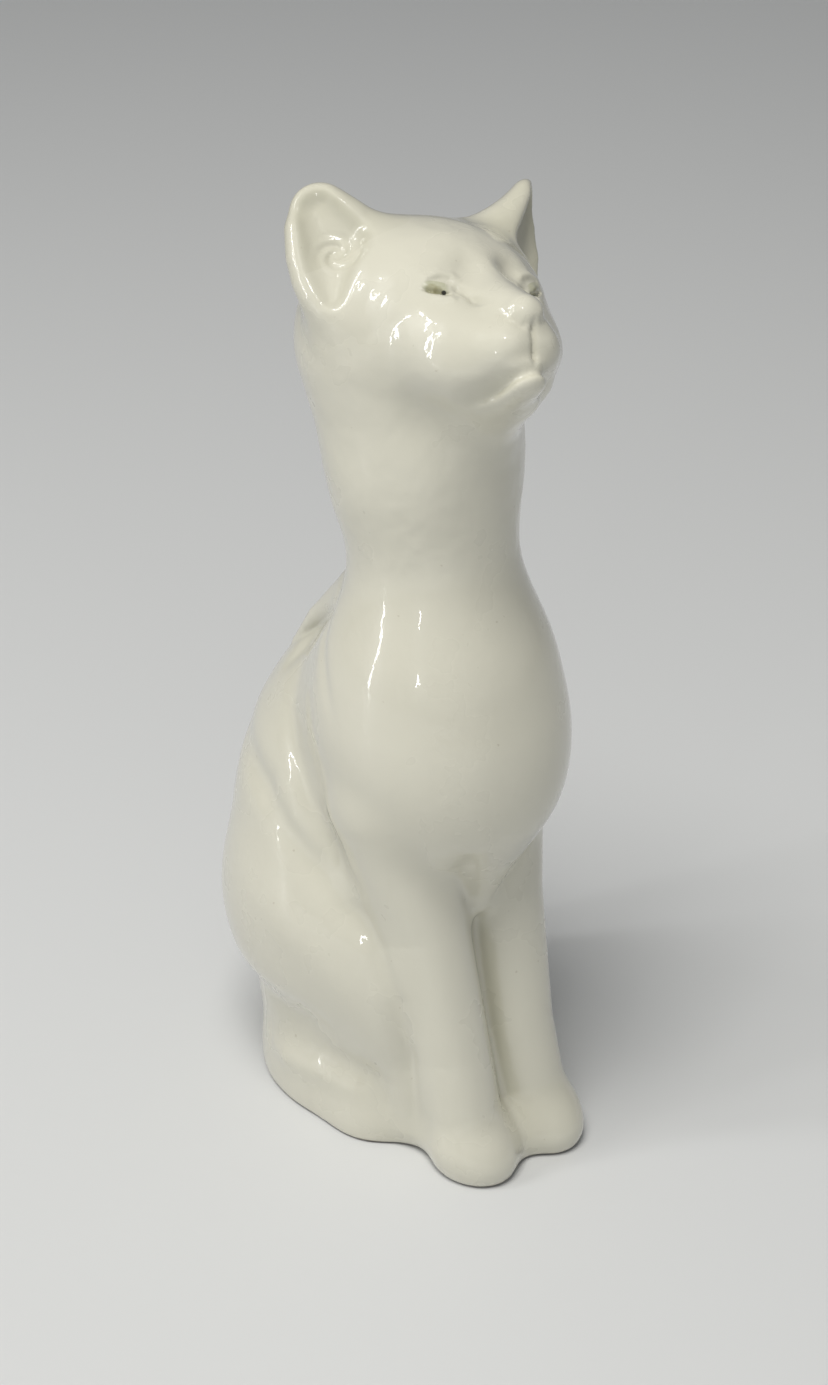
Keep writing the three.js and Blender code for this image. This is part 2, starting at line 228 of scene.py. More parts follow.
# x, y, z and radius along the tail, from its root behind the back to its tip beside the left haunch
TAIL = rounded([
    (0, 35, 9, 4.4), (6, 37.8, 7.4, 4.3), (12, 38, 6, 4.2), (18, 35.6, 4.9, 4.1), (22, 31, 4.4, 4.0),
    (24.6, 25.5, 4.4, 3.9), (25.5, 20, 4.4, 3.8), (25, 14.4, 4.3, 3.7), (24, 10.5, 4.2, 3.4),
], 5).tolist()
TAIL_CLEAR = 20.0  # the tail lies well below this height


def tail_clay(p):
    """Only worked out near the floor; anywhere higher is simply far away."""
    out = np.full(len(p), TAIL_CLEAR, p.dtype)
    low = p[:, 2] < TAIL_CLEAR
    out[low] = chain(p[low], [row[:3] for row in TAIL], [row[3] for row in TAIL])
    return out


def torso_clay(p):
    """The chest with the neck's root, and behind it the back with a leaf of clay on each shoulder blade."""
    q = folded(p)
    chest = blend(
        10,
        ellipsoid(p, (0, -0.4, 82.6), (21.2, 22.6, 25)),
        roll(p, (0, -4.6, 72), (0, -11.4, 49.5), 16.6, 2.3),
        roll(p, (0, -0.8, 98), (0, 1.2, 130), 13.9, 13.1),
    )
    back = blend(
        8,
        ellipsoid(p, (0, 19.8, 43), (23.2, 25.0, 47)),
        ellipsoid(p, (0, 15.5, 6), (19, 21.4, 20)),
        roll(p, (0, 5, 98), (0, 15.4, 80), 9.6, 12.4),
    )
    blade_line = [(6.0, 14, 101.5), (6.4, 18.2, 97.6), (6.8, 23.0, 92.6), (7.0, 28.6, 85.2)]
    blade = chain(q, blade_line, [1.6, 1.7, 1.6, 0.9])
    return blend(5, chest, blend(0.8, back, blade))


# lines that the tool drew over each flank: how deep (raised where below 0), how wide, and y, z along them
FLANK_LINES = (
    # where the shoulder leaves the flank
    (0.45, 2.3, [(21, 92), (19, 79), (16, 73), (8, 60), (-1, 52), (-6, 45), (-10, 36)]),
    # the crease between the foreleg and the thigh, and the swell of the thigh behind it
    (0.8, 1.9, [(0.5, 51), (-5.5, 43), (-9.2, 34), (-10.8, 22), (-11.0, 4)]),
    (-0.6, 5.5, [(26, 46), (14, 44), (4, 39), (-3, 32), (-6.5, 24), (-7.5, 14), (-7.5, 2)]),
    # the upper edge of the thigh
    (0.8, 2.8, [(30, 68), (18, 61.5), (9, 54.5), (1, 49), (-4, 44.5)]),
    # in front of the shoulder blade
    (0.35, 1.6, [(11, 106), (11.5, 100), (9.4, 96), (5.7, 92), (1, 86)]),
    # the hollow over the haunch
    (0.6, 3.4, [(38, 68), (26, 66), (17, 64)]),
    # below the shoulder blade
    (0.8, 1.3, [(11, 100), (16.4, 95.4), (20.6, 90.4), (26.5, 82)]),
    # the hollow above the hind foot, and the swell of the foot
    (1.1, 3.6, [(35, 20), (26, 21.5), (15, 21), (3, 22)]),
    (-1.0, 3.2, [(22, 9.5), (8, 10.5), (-6, 10.5)]),
)
# the two lines of the V where the chest ends between the forelegs: how deep, how wide, and x, z along them
CHEST_LINES = (
    (0.5, 1.5, [(-9.5, 66), (-7.2, 59), (-4.8, 54), (-2.8, 49)]),
    (0.5, 1.3, [(15, 68), (10, 60), (5.5, 54.5), (1, 49)]),
)


def body_relief(p):
    """How far the tool pressed the body in at each point."""
    x, y, z = p[:, 0], p[:, 1], p[:, 2]
    flank = sum(depth * stroke(y, z, line, width) for depth, width, line in FLANK_LINES)
    chest = sum(depth * stroke(x, z, line, width) for depth, width, line in CHEST_LINES)
    return flank * np.clip((np.abs(x) - 5) / 6, 0, 1) + chest * np.clip(-y / 5 - 1, 0, 1)


def body_clay(p):
    """Everything below the head, smoothed together where the members meet."""
    q = folded(p)
    rear = blend(5, haunch_clay(q), foot_clay(q))
    front = blend(6, torso_clay(p), web_clay(q))
    forelegs = blend(2, foreleg_clay(p, 1), foreleg_clay(sided(p, -1), -1))
    front = blend(4, front, forelegs)
    return blend(2.0, blend(5, front, rear) + body_relief(p), tail_clay(p))


# ---- head, in its own frame: x to its left, y to its back, z up ----
HEAD_AT = np.array([2.4, -8.0, 158.2])
HEAD_TURN = rotation(math.radians(-40), math.radians(17))  # it looks up, and leans to its left
EYE_LIFT = 0.8  # how much higher the left eye sits than the right one


def to_head(p):
    return ((p - HEAD_AT.astype(p.dtype)) @ HEAD_TURN.astype(p.dtype)).astype(p.dtype)


def from_head(p):
    return np.asarray(p, float) @ HEAD_TURN.T + HEAD_AT


# ---- ears, the left one under 1 and the right one under -1 ----
EAR_AT = {1: (15.2, 12.5, 8.9), -1: (15.6, 12.5, 8.2)}
EAR_TWIST = {1: 0.74, -1: 0.6}
EAR_LENGTH = {1: 11.6, -1: 9.6}
EAR_WIDTH = {1: 6.8, -1: 8.6}
EAR_DEPTH = {1: 2.3, -1: 0.3}  # how much deeper than the leaf's middle its hollow goes
EAR_SEAM = 1.0  # height of the seam between ear and skull, in the ear's own frame
EAR_EDGE = {1: (4.6, 12.6, 11.6), -1: (6.3, 12.6, 11.4)}  # where an ear's inner edge leaves the crown
EAR_EDGE_RADIUS = {1: 3.9, -1: 3.4}


def to_ear(h, side):
    """Head coordinates to one ear's own frame, with x to the ear's outer side."""
    turn = rotation(0.04 + side * 0.12, side * 0.32, side * EAR_TWIST[side])
    at = np.array(EAR_AT[side]) * np.array([side, 1, 1])
    return sided((h - at).astype(h.dtype) @ turn.astype(h.dtype), side)


EAR_EDGE_IN_EAR = {
    side: to_ear(np.array(EAR_EDGE[side]) * np.array([side, 1, 1]), side) for _, side in SIDES
}


def ear_clay(e, side):
    """A leaf of clay with its inner edge run down to the crown and its outer edge rolled forward."""
    top = EAR_LENGTH[side]
    wide = EAR_WIDTH[side]
    leaf = pressed(0.5, e, lambda q: roll(q, (0, 0, -2), (0, 0, top), wide, wide / 2))
    edge = roll(e, EAR_EDGE_IN_EAR[side], (-0.8, 0, top - 0.8), EAR_EDGE_RADIUS[side], 2.5)
    x = wide - 1.9
    outer_line = [
        (x - 2.6, -0.4, 8.2), (x - 0.8, -1.2, 4.5), (x - 0.1, -1.7, 1.0),
        (x - 0.1, -2.0, -2.2), (x - 0.8, -2.3, -5.0), (x - 2.6, -2.6, -7.8),
    ]
    outer = chain(e, outer_line, [1.3, 1.35, 1.4, 1.4, 1.3, 0.9])
    return blend(3, blend(4, leaf, edge), outer)


def ear_cup(e, side):
    """The hollow pressed into an ear."""
    top = EAR_LENGTH[side]
    sink = EAR_DEPTH[side]
    line = [(4.6, sink - 6.0, -4.0), (2.0, sink - 6.6, 1.5), (0.0, sink - 6.0, 4.0), (0.2, sink - 4.2, top)]
    cup = pressed(0.8, e, lambda q: chain(q, line, [1.2, 3.8, 5.0, 3.0]))
    # faint curls of hair pressed into the hollow
    x, z = e[:, 0] - 0.6, e[:, 2] - 2.0
    reach = np.sqrt(x ** 2 + z ** 2) + 0.3
    curl = np.sin(3.0 * reach + 3 * np.arctan2(z, x))
    curl = curl * np.clip(1 - reach / 4.5, 0, 1) * np.clip(reach - 0.8, 0, 1)
    return cup + 0.24 * curl


def face_relief(h):
    """How far the tool pressed the face in at each point, seen from its front."""
    x, z = np.abs(h[:, 0]), h[:, 2]
    left = np.clip(0.5 + h[:, 0] / 2, 0, 1)  # 1 on the left side, 0 on the right
    # the hollows beside the bridge of the nose and round the eye
    depth = (0.7 + 0.9 * left) * dimple(x, z, (3.9, 2.6), (2.2, 2.2))
    depth += 0.7 * dimple(x, z, (8.0, 0.2), (3.4, 1.9))
    z = z - EYE_LIFT * left
    # the upper lid, the ball of the eye, the slit, the lower lid and the tear duct
    depth -= 0.5 * stroke(x, z, [(11.4, -0.2), (10.2, 1.2), (8.4, 1.6), (6.6, 1.1), (5.4, -0.2)], 0.75)
    depth -= 0.55 * dimple(x, z, (8.8, -0.5), (1.7, 1.0))
    depth += 0.8 * stroke(x, z, [(11.0, -0.5), (9.6, -1.4), (8.3, -2.0), (7.2, -2.2)], 0.34)
    depth -= 0.3 * stroke(x, z, [(10.4, -2.2), (9.0, -3.0), (7.2, -3.2)], 0.8)
    depth += 0.5 * stroke(x, z, [(7.2, -1.0), (5.9, -2.0), (5.2, -3.6), (5.3, -5.6)], 0.8)
    # the line below the nose, and the nose standing over the whisker pads
    depth += 0.3 * stroke(x, z, [(0, -9.4), (0, -13), (0, -17)], 0.5)
    depth += 0.22 * stroke(x, z, [(0.6, -10.6), (2.2, -10.2), (3.2, -8.8), (3.6, -6.8)], 0.8)
    return depth * np.clip((5 - h[:, 1]) / 3, 0, 1)


def mouth_relief(h):
    """The mouth line and the hollow below the jaw, pressed in from the side."""
    y, z = h[:, 1], h[:, 2]
    mouth = [(-13.0, -16.2), (-8.6, -17.2), (-5.0, -17.6), (-1.0, -17.8), (3.0, -18.2)]
    line = 1.05 * stroke(y, z, mouth, 0.9)
    jaw = 0.9 * dimple(y, z, (8.0, -17.0), (5.0, 2.6))
    # the left corner of the mouth is drawn in deeper than the right one
    corner = 0.8 * dimple(y, z, (-1.0, -14.6), (3.4, 2.2)) * np.clip(h[:, 0] / 3, 0, 1)
    return line * np.clip(1.5 - np.abs(h[:, 0]) / 12, 0, 1) + jaw + corner


def eye_owns(p, side):
    """The almond of enamel below an upper lid."""
    h = sided(to_head(p), side)
    x, z = h[:, 0] - 8.9, h[:, 2] + 0.75 - (EYE_LIFT if side > 0 else 0)
    along, across = 0.91 * x + 0.41 * z, 0.91 * z - 0.41 * x
    return np.maximum(np.hypot(along / 2.3, across / 1.05) - 1, (h[:, 1] - 5) / 3)


# ---- neck and throat, placed over the body and given in head coordinates ----
NECK_A = to_head(np.array([0, 1.4, 100.0]))
NECK_B = to_head(np.array([0, 3.0, 126.0]))
NECK_C = to_head(np.array([0.8, 7.5, 146.0]))
THROAT_A = to_head(np.array([-0.4, -15.5, 145.3]))
THROAT_B = to_head(np.array([0.4, 1.6, 127.0]))


def head_clay(p):
    """The skull with its cheeks and muzzle, the neck, and the hollowed ears."""
    h = to_head(p)
    q = folded(h)
    skull = blend(
        8,
        ellipsoid(q, (0, 13, 2.2), (16.6, 14.6, 11.6)),
        roll(q, (0, 6, -6), (6.6, 4.2, -6.6), 8, 6.0),
        ellipsoid(q, (5.2, 2.5, -12.2), (3.9, 4.7, 3.7)),
        ellipsoid(q, (0, -0.5, -11), (7.3, 8, 6.4)),
    )
    bridge = roll(q, (0, 1, -1.5), (0, -8.2, -7.6), 4.2, 3.1)
    nose = ellipsoid(q, (0, -9.0, -8.1), (2.9, 2.4, 2.3))
    whisker_pad = ellipsoid(q, (2.1, -5.2, -12.3), (4.6, 4.8, 4.1))
    chin = ellipsoid(q, (0, -5.3, -17.2), (3.5, 4.8, 2.8))
    face = blend(1.2, blend(3, skull, bridge), nose)
    face = blend(2.2, blend(2.2, face, whisker_pad), chin)
    face = face + face_relief(h) + mouth_relief(h)
    neck = blend(6, roll(h, NECK_A, NECK_B, 12.4, 14.0), roll(h, NECK_B, NECK_C, 14.9, 18.4))
    neck = blend(6, neck, roll(h, THROAT_A, THROAT_B, 4.6, 10.0))
    head = blend(6, face, neck)
    for _, side in SIDES:
        e = to_ear(h, side)
        head = blend(3.5, head, ear_clay(e, side))
        head = carve(1.6, head, ear_cup(e, side))
    return head


BODY_TOP = 135.0  # above this height the body's clay is all inside the neck


def cat_clay(p):
    """The whole cat, cut flat where it stands, with the recess for the closing plate."""
    cat = np.where(p[:, 2] > BODY_TOP, head_clay(p), blend(2, body_clay(p), head_clay(p)))
    cat = carve(0.8, cat, p[:, 2])
    ring = (np.hypot(p[:, 0] / PLATE_HALF[0], (p[:, 1] - PLATE_Y) / PLATE_HALF[1]) - 1) * PLATE_HALF[0]
    return np.maximum(cat, -np.maximum(ring, p[:, 2] - PLATE_TOP))


# ---------------------------------------------------------------------------
# Surfaces
# ---------------------------------------------------------------------------
BLOCK = 4  # a coarse cell is this many voxels wide


def surface(field, low, high, voxel):
    """Vertices and triangles of a field's zero level inside a box, found on a grid and then set exactly."""
    coarse = voxel * BLOCK
    low = np.asarray(low, float)
    count = np.ceil((np.asarray(high, float) - low) / coarse).astype(int)
    axes = [low[i] + coarse * (np.arange(count[i]) + 0.5) for i in range(3)]
    pts = np.stack(np.meshgrid(*axes, indexing="ij"), -1).reshape(-1, 3).astype(np.float32)
    rough = field(pts).reshape(count)
    fine = split_cells(np.abs(rough) < coarse * 1.6)
    values = split_cells(np.sign(rough)).astype(np.float32) * coarse
    index = np.argwhere(fine)
    values[fine] = field((low + voxel * (index + 0.5)).astype(np.float32))
    grid = openvdb.FloatGrid(coarse)
    grid.copyFromArray(values)
    points, tris, quads = grid.convertToPolygons(0.0, 0.0)
    points = low + voxel * (points + 0.5)
    tris = np.vstack([tris.reshape(-1, 3), quads[:, [0, 1, 2]], quads[:, [0, 2, 3]]]).astype(np.int64)
    for _ in range(3):
        value = field(points)
        slope = gradient(field, points, 0.05)
        step = value / np.maximum((slope ** 2).sum(1), 0.05)
        points = points - np.clip(step, -voxel, voxel)[:, None] * slope
    a, b, c = (points[tris[:, i]] for i in range(3))
    facing = (np.cross(b - a, c - a) * gradient(field, (a + b + c) / 3, 0.1)).sum()
    return points, tris if facing > 0 else tris[:, ::-1]


def split_cells(cells):
    """Every coarse cell's value, repeated for the voxels in it."""
    for axis in range(3):
        cells = np.repeat(cells, BLOCK, axis)
    return cells


def gradient(field, points, h):
    """The field's slope along each axis, from its values h to either side."""
    out = np.empty((len(points), 3))
    for axis in range(3):
        d = np.zeros(3)
        d[axis] = h
        out[:, axis] = (field(points + d) - field(points - d)) / (2 * h)
    return out


def clip(points, tris, g):
    """Splits a surface where g changes sign.

    Returns the points with the cut's own added, the triangles where g is below 0, and the other triangles.
    """
    least = 0.02  # no cut comes closer than this to a point, which would leave slivers
    g = np.where(np.abs(g) < least, np.where(g < 0, -least, least), g)
    inside = g < 0
    n_in = inside[tris].sum(1)
    keep = {0: [tris[n_in == 0]], 3: [tris[n_in == 3]]}
    mixed = tris[(n_in == 1) | (n_in == 2)]
    if len(mixed):
        edges = np.sort(np.vstack([mixed[:, [0, 1]], mixed[:, [1, 2]], mixed[:, [2, 0]]]), 1)
        edges = np.unique(edges[inside[edges[:, 0]] != inside[edges[:, 1]]], axis=0)
        t = g[edges[:, 0]] / (g[edges[:, 0]] - g[edges[:, 1]])
        cut = points[edges[:, 0]] + t[:, None] * (points[edges[:, 1]] - points[edges[:, 0]])
        key = edges[:, 0] * (len(points) + 1) + edges[:, 1]
        first = len(points)

        def on_edge(a, b):
            low, high = np.minimum(a, b), np.maximum(a, b)
            return first + np.searchsorted(key, low * (first + 1) + high)

        for lone_inside in (True, False):
            rows = mixed[inside[mixed].sum(1) == (1 if lone_inside else 2)]
            if not len(rows):
                continue
            lone = np.argmax(inside[rows] == lone_inside, 1)
            i = np.arange(len(rows))
            a, b, c = rows[i, lone], rows[i, (lone + 1) % 3], rows[i, (lone + 2) % 3]
            ab, ac = on_edge(a, b), on_edge(a, c)
            corner = np.stack([a, ab, ac], 1)
            rest = np.vstack([np.stack([ab, b, c], 1), np.stack([ab, c, ac], 1)])
            keep[3 if lone_inside else 0].append(corner)
            keep[0 if lone_inside else 3].append(rest)
        points = np.vstack([points, cut])
    return points, np.vstack(keep[3]), np.vstack(keep[0])


def compact(points, tris):
    """Only the points that the triangles use."""
    used, tris = np.unique(tris, return_inverse=True)
    return points[used], tris.reshape(-1, 3)


def rim(tris):
    """The directed edges on a surface's open border."""
    edges = np.vstack([tris[:, [0, 1]], tris[:, [1, 2]], tris[:, [2, 0]]])
    n = tris.max() + 1
    forward = edges[:, 0] * n + edges[:, 1]
    backward = edges[:, 1] * n + edges[:, 0]
    return edges[~np.isin(forward, backward)]


def closed_shell(points, normals, tris, wall):
    """Closes a surface with an inner skin one wall thickness below it."""
    border = rim(tris)
    n = len(points)
    inner = points - normals * wall
    a, b = border[:, 0], border[:, 1]
    sides = np.vstack([np.stack([b, a, a + n], 1), np.stack([b, a + n, b + n], 1)])
    return np.vstack([points, inner]), np.vstack([tris, tris[:, ::-1] + n, sides])


def shade_fields(field, points, normals):
    """How hollow the surface is around each point, from 0 on open ground to 1 deep in a crease."""
    hollow = np.zeros(len(points))
    for reach in (1.5, 3.0, 5.0):
        hollow += np.clip((reach - field(points + normals * reach)) / reach, 0, 1) / 3
    return hollow


def piece(name, points, tris, normals, hollow, material):
    """A mesh object with its own normals, and with the hollow field that its glaze reads."""
    mesh = bpy.data.meshes.new(name)
    mesh.from_pydata(to_frame(points).tolist(), [], tris.tolist())
    mesh.polygons.foreach_set("use_smooth", np.ones(len(mesh.polygons), bool))
    mesh.normals_split_custom_set_from_vertices(normals.tolist())
    layer = mesh.attributes.new("hollow", "FLOAT", "POINT")
    layer.data.foreach_set("value", hollow.astype(np.float32))
    mesh.materials.append(material)
    mesh.update()
    obj = bpy.data.objects.new(name, mesh)
    bpy.context.scene.collection.objects.link(obj)
    return obj


def add_part(name, node, points, tris, wall, material):
    """One glazed member, cut from the cat's surface, in place of its CAD node."""
    points, tris = compact(points, tris)
    normals = gradient(cat_clay, points, 0.12)
    normals /= np.linalg.norm(normals, axis=1)[:, None]
    hollow = shade_fields(cat_clay, points, normals)
    points, tris = closed_shell(points, normals, tris, wall)
    normals = np.vstack([normals, -normals])
    hollow = np.concatenate([hollow, hollow])
    obj = piece(name, points, tris, normals, hollow, material)
    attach(obj, "root")
    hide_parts(node)
    return obj


# ---------------------------------------------------------------------------
# Materials
# ---------------------------------------------------------------------------
class Look:
    """A node material under construction."""

    def __init__(self, name):
        self.material = bpy.data.materials.new(name)
        self.material.use_nodes = True
        self.nodes, self.links = self.material.node_tree.nodes, self.material.node_tree.links
        self.shader = self.nodes["Principled BSDF"]
        self.coords = self.nodes.new("ShaderNodeTexCoord").outputs["Object"]

    def feed(self, socket, value):
        if isinstance(value, bpy.types.NodeSocket):
            self.links.new(value, socket)
        else:
            socket.default_value = (*value, 1) if len(np.shape(value)) and socket.type == "RGBA" else value

    def noise(self, scale, detail, rough):
        n = self.nodes.new("ShaderNodeTexNoise")
        for key, value in (("Scale", scale), ("Detail", detail), ("Roughness", rough)):
            n.inputs[key].default_value = value
        self.links.new(self.coords, n.inputs["Vector"])
        return n.outputs["Fac"]

    def math(self, op, a, b):
        n = self.nodes.new("ShaderNodeMath")
        n.operation = op
        self.feed(n.inputs[0], a)
        self.feed(n.inputs[1], b)
        return n.outputs[0]

    def mix(self, factor, a, b):
        n = self.nodes.new("ShaderNodeMix")
        n.data_type = "RGBA"
        self.feed(n.inputs["Factor"], factor)
        for key, value in (("A", a), ("B", b)):
            self.feed([s for s in n.inputs if s.name == key and s.type == "RGBA"][0], value)
        return [s for s in n.outputs if s.type == "RGBA"][0]

    def ramp(self, source, low, high):
        n = self.nodes.new("ShaderNodeMapRange")
        n.interpolation_type = "SMOOTHSTEP"
        n.inputs["From Min"].default_value = low
        n.inputs["From Max"].default_value = high
        self.links.new(source, n.inputs["Value"])
        return n.outputs["Result"]

    def hollow(self):
        n = self.nodes.new("ShaderNodeAttribute")
        n.attribute_name = "hollow"
        return n.outputs["Fac"]

    def near(self, place, reach):
        """1 around a place on the cat, 0 past the reach, both in modelling millimetres."""
        n = self.nodes.new("ShaderNodeVectorMath")
        n.operation = "DISTANCE"
        self.links.new(self.coords, n.inputs[0])
        n.inputs[1].default_value = to_frame(place)
        return self.ramp(n.outputs["Value"], reach * MM, reach * 0.55 * MM)

    def height(self):
        n = self.nodes.new("ShaderNodeSeparateXYZ")
        self.links.new(self.coords, n.inputs[0])
        return n.outputs["Z"]

    def bump(self, height, strength, distance, below=None):
        n = self.nodes.new("ShaderNodeBump")
        n.inputs["Strength"].default_value = strength
        n.inputs["Distance"].default_value = distance
        self.links.new(height, n.inputs["Height"])
        if below is not None:
            self.links.new(below, n.inputs["Normal"])
        return n.outputs[0]


IVORY = (0.62, 0.60, 0.50)
# the darker colour in hollows: partly glaze run thick there, partly painted shade in creases
POOLED_AND_SHADE = (0.47, 0.455, 0.35)  # where the glaze has run thick
PINHOLE = (0.30, 0.25, 0.16)
# the unglazed foot's colour, darkened as painted shadow where it meets the floor
BARE_FOOT_AND_SHADOW = (0.20, 0.17, 0.12)
OLIVE = (0.34, 0.35, 0.20)
UMBER = (0.20, 0.18, 0.08)
PUPIL = (0.012, 0.012, 0.010)
CLAY_LIGHT, CLAY_DARK = (0.60, 0.52, 0.40), (0.42, 0.35, 0.26)
CLAY_GRIT = (0.22, 0.18, 0.13)


def glaze_look(name, ripple, spots=(), pool_and_shade=0.8):
    """Clear glaze over ivory clay.

    ripple is how uneven the glaze's surface is, spots are (place, reach, colour, strength) washes of colour
    under it, and the last argument is how much it darkens in hollows: partly glaze run thick there, partly
    painted shade.
    """
    look = Look(name)
    cloud = look.math("MULTIPLY", look.ramp(look.noise(28, 3, 0.5), 0.35, 0.75), 0.15)
    # hollows darkened, partly for glaze run thick and partly as painted shade
    pooled_and_shade = look.math("ADD", look.math("MULTIPLY", look.hollow(), pool_and_shade), cloud)
    base = look.mix(pooled_and_shade, IVORY, POOLED_AND_SHADE)
    pinholes = look.math("MULTIPLY", look.ramp(look.noise(800, 1, 0.3), 0.80, 0.84), 0.3)
    base = look.mix(pinholes, base, PINHOLE)
    for place, reach, colour, strength in spots:
        base = look.mix(look.math("MULTIPLY", look.near(place, reach), strength), base, colour)
    # the glaze is wiped off along the foot, and that bare clay is painted dark as shadow where it meets the
    # floor
    wobble = look.math("MULTIPLY", look.noise(160, 2, 0.5), 0.0006)
    foot = look.ramp(look.math("ADD", look.height(), wobble), 0.0010, 0.0007)
    base = look.mix(foot, base, BARE_FOOT_AND_SHADOW)
    look.links.new(base, look.shader.inputs["Base Color"])
    rough = look.math("ADD", look.math("MULTIPLY", look.noise(45, 4, 0.6), 0.12), 0.22)
    look.links.new(look.math("ADD", rough, look.math("MULTIPLY", foot, 0.4)), look.shader.inputs["Roughness"])
    for key, value in (("IOR", 1.5), ("Coat Weight", 0.9), ("Coat Roughness", 0.03), ("Coat IOR", 1.52)):
        look.shader.inputs[key].default_value = value
    # slow ripple of the fired glaze, finer dimples over it, and a trace of orange peel
    normal = look.bump(look.noise(120, 2, 0.5), ripple, 0.0012)
    normal = look.bump(look.noise(330, 1, 0.5), ripple * 0.35, 0.0003, normal)
    normal = look.bump(look.noise(900, 1, 0.5), 0.08, 0.0002, normal)
    look.links.new(normal, look.shader.inputs["Normal"])
    look.links.new(normal, look.shader.inputs["Coat Normal"])
    return look.material


def biscuit_look(name):
    """Bare fired clay: chalky, sandy and soiled from handling."""
    look = Look(name)
    base = look.mix(look.ramp(look.noise(60, 4, 0.6), 0.35, 0.7), CLAY_LIGHT, CLAY_DARK)
    grit = look.math("MULTIPLY", look.ramp(look.noise(1400, 2, 0.5), 0.62, 0.75), 0.5)
    base = look.mix(grit, base, CLAY_GRIT)
    look.links.new(base, look.shader.inputs["Base Color"])
    rough = look.math("ADD", look.math("MULTIPLY", look.noise(300, 3, 0.6), 0.2), 0.72)
    look.links.new(rough, look.shader.inputs["Roughness"])
    normal = look.bump(look.noise(2200, 3, 0.6), 0.35, 0.0002)
    look.links.new(normal, look.shader.inputs["Normal"])
    return look.material


def eye_look(name, side):
    """Olive enamel washed thinly over the ivory, with a black pupil at the inner corner."""
    lift = EYE_LIFT if side > 0 else 0.0

    def at(x, y, z):
        return from_head(np.array([side * x, y, z + lift]))

    return glaze_look(name, 0.2, (
        (at(9.3, -0.9, -0.8), 2.3, OLIVE, 0.5),
        (at(9.9, -0.6, -0.9), 1.2, UMBER, 0.5),
        (at(9.1, -1.0, -1.3), 0.9, UMBER, 0.5),
        (at(8.3, -1.3, -1.7), 0.48, PUPIL, 1.0),
    ))


GLAZE = glaze_look("ivory_glaze", 0.13)
HEAD_GLAZE = glaze_look("ivory_glaze_head", 0.42)
# the ears' hollows are darkened further, as painted shade in their cups
EAR_GLAZE = glaze_look("ivory_glaze_ears", 0.42, pool_and_shade=1.5)
EYES = {side: eye_look(f"eye_enamel_{word}", side) for word, side in SIDES}
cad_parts["base_plate"].material_slots[0].material = biscuit_look("biscuit_clay")

# ---------------------------------------------------------------------------
# The cast members
# ---------------------------------------------------------------------------
BODY_VOXEL = 0.72
HEAD_VOXEL = 0.46
# the box round each half of the cat, which both reach past the neck seam
BODY_BOX = ((-30, -32, -3), (34, 46, 118))
HEAD_BOX = ((-28, -34, 109), (34, 32, 182))
WALL = {"torso": 2.6, "head": 2.0, "limb": 2.0, "tail": 1.6, "eye": 1.0, "ear": 0.5}


def foreleg_owns(p, side):
    q = sided(p, side)
    return np.maximum.reduce([foreleg_clay(q, side) - FORELEG_FILLET, (q - CROTCH) @ SHOULDER, -q[:, 0]])


def haunch_owns(p, side):
    q = sided(p, side)
    return np.maximum(haunch_clay(q) - FILLET, HAUNCH_INNER - q[:, 0])


def foot_owns(p, side):
    q = sided(p, side)
    return np.maximum(foot_clay(q) - FILLET, FOOT_INNER - q[:, 0])


def ear_owns(p, side):
    e = to_ear(to_head(p), side)
    return np.maximum(ear_clay(e, side) - FILLET, EAR_SEAM - e[:, 2])


def build_body():
    points, tris = surface(cat_clay, *BODY_BOX, BODY_VOXEL)
    points, tris, _ = clip(points, tris, points[:, 2] - NECK_SEAM_Z)
    for word, side in SIDES:
        for member, owns in (("foreleg", foreleg_owns), ("haunch", haunch_owns), ("hind_foot", foot_owns)):
            node = f"{word}_{member}"
            points, part, tris = clip(points, tris, owns(points, side))
            add_part(f"{node}_glazed", node, points, part, WALL["limb"], GLAZE)
    points, part, tris = clip(points, tris, tail_clay(points) - TAIL_FILLET)
    add_part("tail_glazed", "tail", points, part, WALL["tail"], GLAZE)
    add_part("torso_glazed", "torso_shell", points, tris, WALL["torso"], GLAZE)


def build_head():
    points, tris = surface(cat_clay, *HEAD_BOX, HEAD_VOXEL)
    points, tris, _ = clip(points, tris, NECK_SEAM_Z - points[:, 2])
    for word, side in SIDES:
        points, part, tris = clip(points, tris, ear_owns(points, side))
        add_part(f"{word}_ear_glazed", f"{word}_ear", points, part, WALL["ear"], EAR_GLAZE)
        points, part, tris = clip(points, tris, eye_owns(points, side))
        add_part(f"{word}_eye_glazed", f"{word}_eye", points, part, WALL["eye"], EYES[side])
    add_part("head_glazed", "head_shell", points, tris, WALL["head"], HEAD_GLAZE)


build_body()
build_head()

# ---------------------------------------------------------------------------
# Floor, light and camera
# ---------------------------------------------------------------------------
def aimed(obj, location, target):
    """Stands a light somewhere and turns it to its target."""
    obj.location = location
    obj.rotation_mode = "QUATERNION"
    obj.rotation_quaternion = (Vector(target) - Vector(location)).to_track_quat("-Z", "Y")


bpy.ops.mesh.primitive_plane_add(size=12)
floor = bpy.context.object
floor.name = "floor"
floor_material = bpy.data.materials.new("pale_floor")
floor_material.use_nodes = True
floor_shader = floor_material.node_tree.nodes["Principled BSDF"]
floor_shader.inputs["Base Color"].default_value = (0.66, 0.665, 0.66, 1)
floor_shader.inputs["Roughness"].default_value = 0.5
floor.data.materials.append(floor_material)


def compass(azimuth, elevation, distance):
    """A place round the cat: azimuth 0 is in front of it, negative to the camera's left."""
    a, e = math.radians(azimuth), math.radians(elevation)
    across = distance * math.cos(e)
    return (across * math.sin(a), -across * math.cos(a), distance * math.sin(e))


MIDDLE = (0, 0, 0.09)
FEET = (0, 0, 0.03)
WARM, WHITE, COOL = (1, 0.985, 0.95), (1, 1, 1), (0.94, 0.97, 1)
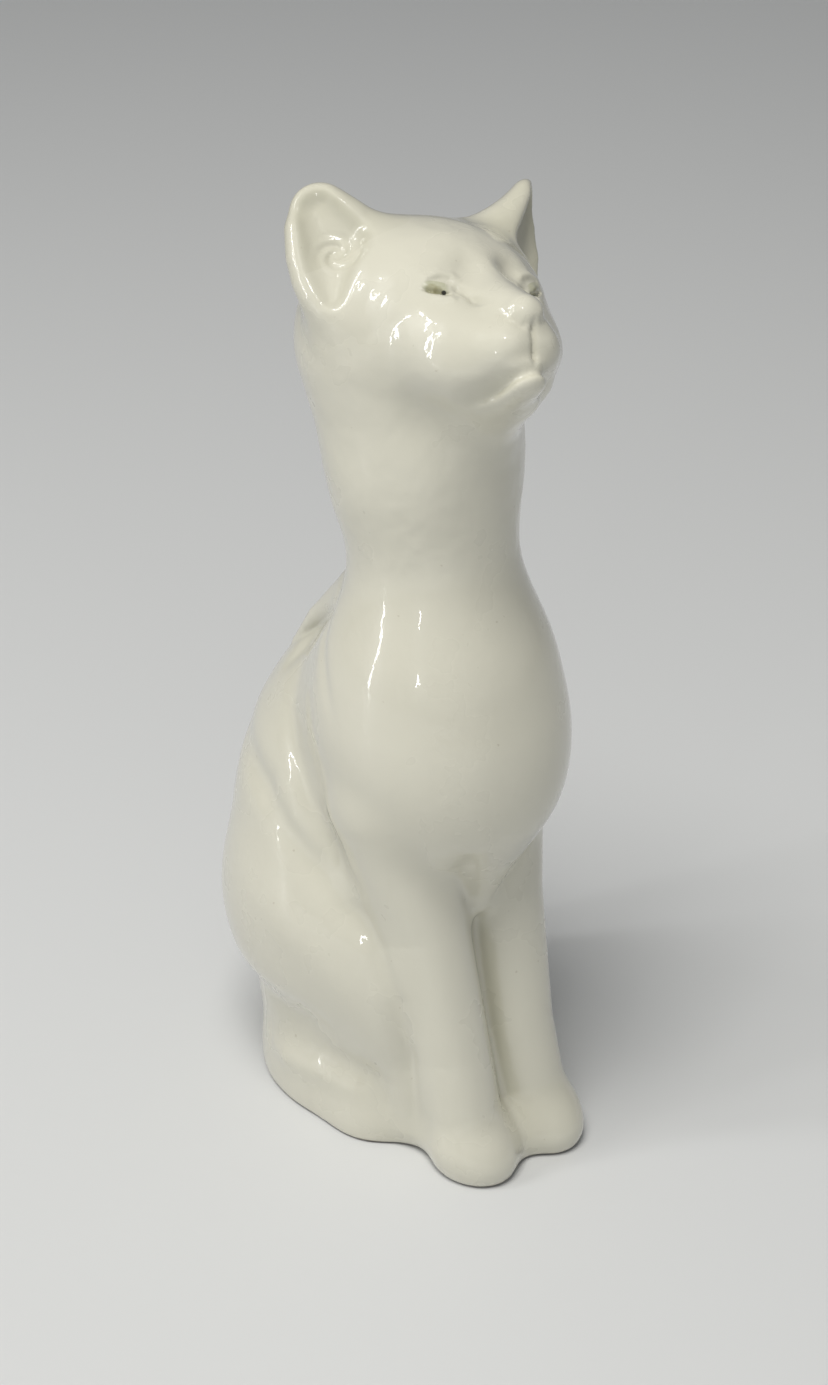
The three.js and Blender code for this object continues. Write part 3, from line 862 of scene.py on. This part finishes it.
# Azimuth, elevation and distance, target, watts, width and height, colour, and whether the glaze mirrors it.
# The key and the fill light the clay; the narrow ones are there for their streaks in the glaze.
LIGHTS = {
    "key": ((-66, 72, 1.1), MIDDLE, 7.6, (0.45, 0.45), WARM, False),
    "window_edge": ((-107, 24, 1.2), MIDDLE, 1.8, (0.035, 0.95), WHITE, True),
    "window_side": ((-62, 16, 1.2), MIDDLE, 0.25, (0.03, 0.12), WHITE, True),
    "window_rear": ((-120, 44, 1.2), MIDDLE, 1.8, (0.06, 0.5), WHITE, True),
    "lamp": ((-40, 66, 1.2), MIDDLE, 0.5, (0.12, 0.06), WHITE, True),
    "fill": ((-40, 14, 1.4), FEET, 2.6, (1.2, 0.5), COOL, False),
}
for light_name, (place, light_target, energy, size, colour, mirrored) in LIGHTS.items():
    light = bpy.data.lights.new(light_name, "AREA")
    light.shape = "RECTANGLE"
    light.size, light.size_y = size
    light.energy = energy
    light.color = colour
    light_object = bpy.data.objects.new(light_name, light)
    light_object.visible_glossy = mirrored
    bpy.context.scene.collection.objects.link(light_object)
    aimed(light_object, compass(*place), light_target)

world = bpy.data.worlds.new("studio")
bpy.context.scene.world = world
world.use_nodes = True
world.node_tree.nodes["Background"].inputs["Color"].default_value = (0.80, 0.82, 0.84, 1)
world.node_tree.nodes["Background"].inputs["Strength"].default_value = 0.29

# the photograph's viewpoint
AZIMUTH, ELEVATION = math.radians(-40), math.radians(30)
DISTANCE = 0.42
LENS = 66.15
TARGET = (-6.4, -2.0, 88.0)  # in modelling millimetres
back = Vector((
    math.sin(AZIMUTH) * math.cos(ELEVATION),
    -math.cos(AZIMUTH) * math.cos(ELEVATION),
    math.sin(ELEVATION),
))
target = Vector(to_frame(TARGET))
camera_data = bpy.data.cameras.new("camera")
camera_data.sensor_width = 36
camera_data.lens = LENS
camera_data.clip_start = 0.01
camera = bpy.data.objects.new("camera", camera_data)
bpy.context.scene.collection.objects.link(camera)
right = (-back).cross(Vector((0, 0, 1))).normalized()
up = right.cross(-back)
basis = Matrix((right, up, back)).transposed().to_4x4()
basis.translation = target + back * DISTANCE
camera.matrix_world = basis
bpy.context.scene.camera = camera
bpy.context.scene.view_settings.view_transform = "Standard"
